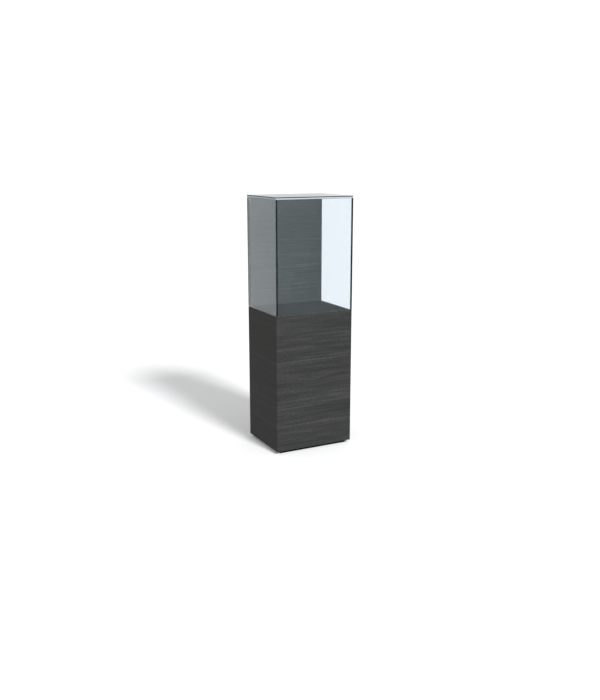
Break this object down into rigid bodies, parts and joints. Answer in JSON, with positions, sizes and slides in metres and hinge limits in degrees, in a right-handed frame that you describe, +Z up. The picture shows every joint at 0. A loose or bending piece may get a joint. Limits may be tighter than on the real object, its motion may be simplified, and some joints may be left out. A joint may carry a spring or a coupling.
{
  "type": "pedestal display case",
  "caption": "Pedestal display case: a wood-grain laminate base on a recessed plinth, a frameless glass box on top, and a lockable rear door that turns on pins.",
  "frame": {"origin": "middle of the footprint, on the floor", "axes": "+Z up, +Y towards the back (the front pane faces -Y), +X to the right seen from the front"},
  "size_m": [0.45, 0.355, 1.355],
  "materials": {
    "laminate": "dark grey wood-grain laminate, satin",
    "plinth_board": "matt black lacquered board",
    "plain_board": "plain board and softwood, unseen",
    "glass": "clear float glass, polished edges",
    "clear_plastic": "clear acrylic",
    "clear_rubber": "clear silicone",
    "steel": "zinc-plated steel",
    "chrome": "bright plated lock cylinder",
    "brass": "machined brass",
    "nylon": "black nylon"
  },
  "bodies": {
    "case": {"front_panel": "laminate", "left_panel": "laminate", "right_panel": "laminate", "base_back_panel": "laminate", "deck_panel": "laminate", "plinth_board": "plinth_board", "bottom_panel": "plain_board", "corner_batten_left": "plain_board", "corner_batten_right": "plain_board", "back_cleat_left": "plain_board", "back_cleat_right": "plain_board", "deck_cleat_front": "plain_board", "deck_cleat_left": "plain_board", "deck_cleat_right": "plain_board", "deck_cleat_back": "plain_board", "bottom_dowels": "plain_board", "glass_front": "glass", "glass_left": "glass", "glass_right": "glass", "glass_top": "glass", "door_stop_upper": "clear_plastic", "door_stop_lower": "clear_plastic", "glass_bedding": "clear_rubber", "stop_bumpers": "clear_rubber", "plinth_screws": "steel", "back_panel_screws": "steel", "deck_screws": "steel", "upper_pivot": "steel", "lower_pivot": "steel", "lower_pivot_screws": "steel", "thrust_washer": "steel", "keeper_plate": "steel", "keeper_screws": "steel", "leveller_inserts": "brass"},
    "door": {"back_door": "laminate", "upper_bush": "nylon", "lower_bush": "nylon", "lock_case": "steel", "lock_case_screws": "steel", "lock_barrel": "chrome"},
    "lock": {"lock_plug": "brass", "swing_bolt": "steel", "bolt_screw": "steel"},
    "leveller_front_left": {"leveller_stem_front_left": "steel", "leveller_pad_front_left": "nylon"},
    "leveller_front_right": {"leveller_stem_front_right": "steel", "leveller_pad_front_right": "nylon"},
    "leveller_back_left": {"leveller_stem_back_left": "steel", "leveller_pad_back_left": "nylon"},
    "leveller_back_right": {"leveller_stem_back_right": "steel", "leveller_pad_back_right": "nylon"}
  },
  "joints": [
    {"name": "door_swing", "type": "hinge", "parent": "case", "child": "door", "pos_m": [0.175, 0.1645, 0.75], "axis": [0, 0, -1], "range_deg": [0, 110]},
    {"name": "lock_turn", "type": "hinge", "parent": "door", "child": "lock", "pos_m": [-0.17, 0.162, 0.7706], "axis": [0, 1, 0], "range_deg": [0, 90]},
    {"name": "leveller_front_left", "type": "slide", "parent": "case", "child": "leveller_front_left", "axis": [0, 0, -1], "range_m": [0, 0.01]},
    {"name": "leveller_front_right", "type": "slide", "parent": "case", "child": "leveller_front_right", "axis": [0, 0, -1], "range_m": [0, 0.01]},
    {"name": "leveller_back_left", "type": "slide", "parent": "case", "child": "leveller_back_left", "axis": [0, 0, -1], "range_m": [0, 0.01]},
    {"name": "leveller_back_right", "type": "slide", "parent": "case", "child": "leveller_back_right", "axis": [0, 0, -1], "range_m": [0, 0.01]}
  ]
}
